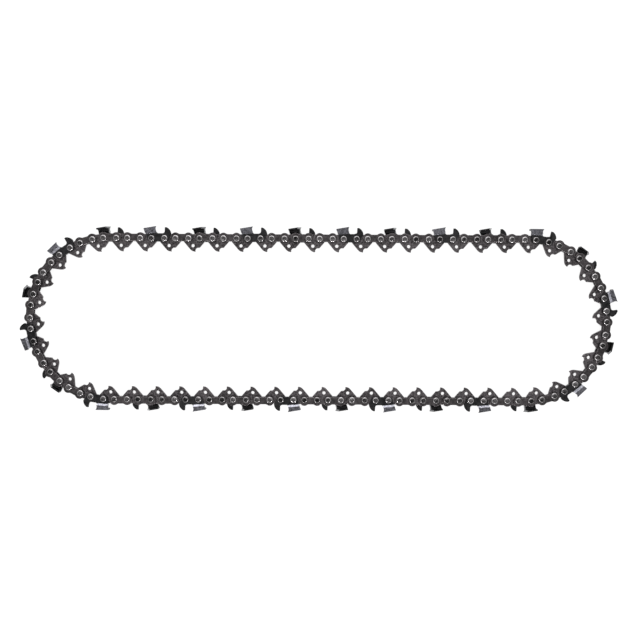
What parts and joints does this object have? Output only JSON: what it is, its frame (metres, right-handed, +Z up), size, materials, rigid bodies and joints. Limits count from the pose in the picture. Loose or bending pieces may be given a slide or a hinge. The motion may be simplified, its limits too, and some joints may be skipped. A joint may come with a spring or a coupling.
{
  "type": "chainsaw chain loop",
  "caption": "Closed loop of low-profile saw chain lying on its side: hooked drive links, waisted tie straps and left- and right-hand cutters with depth gauges, joined by headed rivets.",
  "frame": {"origin": "middle of the loop, on the surface that the left-hand cutters' side plates rest on", "axes": "+X along the long straight run in its direction of travel on the +Y side, +Z up out of the loop's plane, towards the right-hand cutters' side"},
  "size_m": [0.4662, 0.1446, 0.0061],
  "materials": {
    "cutter_plating": "hard plated side and top plates, darker foot",
    "strap_steel": "dark oiled steel, satin",
    "drive_steel": "dark oiled steel, satin",
    "rivet_steel": "spun heads, polished by forming"
  },
  "bodies": {
    "root": {"left_cutter_01": "cutter_plating", "right_cutter_01": "cutter_plating", "tie_straps_01": "strap_steel", "drive_links_01": "drive_steel", "left_cutter_02": "cutter_plating", "right_cutter_02": "cutter_plating", "tie_straps_02": "strap_steel", "drive_links_02": "drive_steel", "left_cutter_03": "cutter_plating", "right_cutter_03": "cutter_plating", "tie_straps_03": "strap_steel", "drive_links_03": "drive_steel", "left_cutter_04": "cutter_plating", "right_cutter_04": "cutter_plating", "tie_straps_04": "strap_steel", "drive_links_04": "drive_steel", "left_cutter_05": "cutter_plating", "right_cutter_05": "cutter_plating", "tie_straps_05": "strap_steel", "drive_links_05": "drive_steel", "left_cutter_06": "cutter_plating", "right_cutter_06": "cutter_plating", "tie_straps_06": "strap_steel", "drive_links_06": "drive_steel", "left_cutter_07": "cutter_plating", "right_cutter_07": "cutter_plating", "tie_straps_07": "strap_steel", "drive_links_07": "drive_steel", "left_cutter_08": "cutter_plating", "right_cutter_08": "cutter_plating", "tie_straps_08": "strap_steel", "drive_links_08": "drive_steel", "left_cutter_09": "cutter_plating", "right_cutter_09": "cutter_plating", "tie_straps_09": "strap_steel", "drive_links_09": "drive_steel", "left_cutter_10": "cutter_plating", "right_cutter_10": "cutter_plating", "tie_straps_10": "strap_steel", "drive_links_10": "drive_steel", "left_cutter_11": "cutter_plating", "right_cutter_11": "cutter_plating", "tie_straps_11": "strap_steel", "drive_links_11": "drive_steel", "left_cutter_12": "cutter_plating", "right_cutter_12": "cutter_plating", "tie_straps_12": "strap_steel", "drive_links_12": "drive_steel", "left_cutter_13": "cutter_plating", "right_cutter_13": "cutter_plating", "tie_straps_13": "strap_steel", "drive_links_13": "drive_steel", "left_cutter_14": "cutter_plating", "right_cutter_14": "cutter_plating", "tie_straps_14": "strap_steel", "drive_links_14": "drive_steel", "rivets": "rivet_steel"}
  },
  "joints": []
}
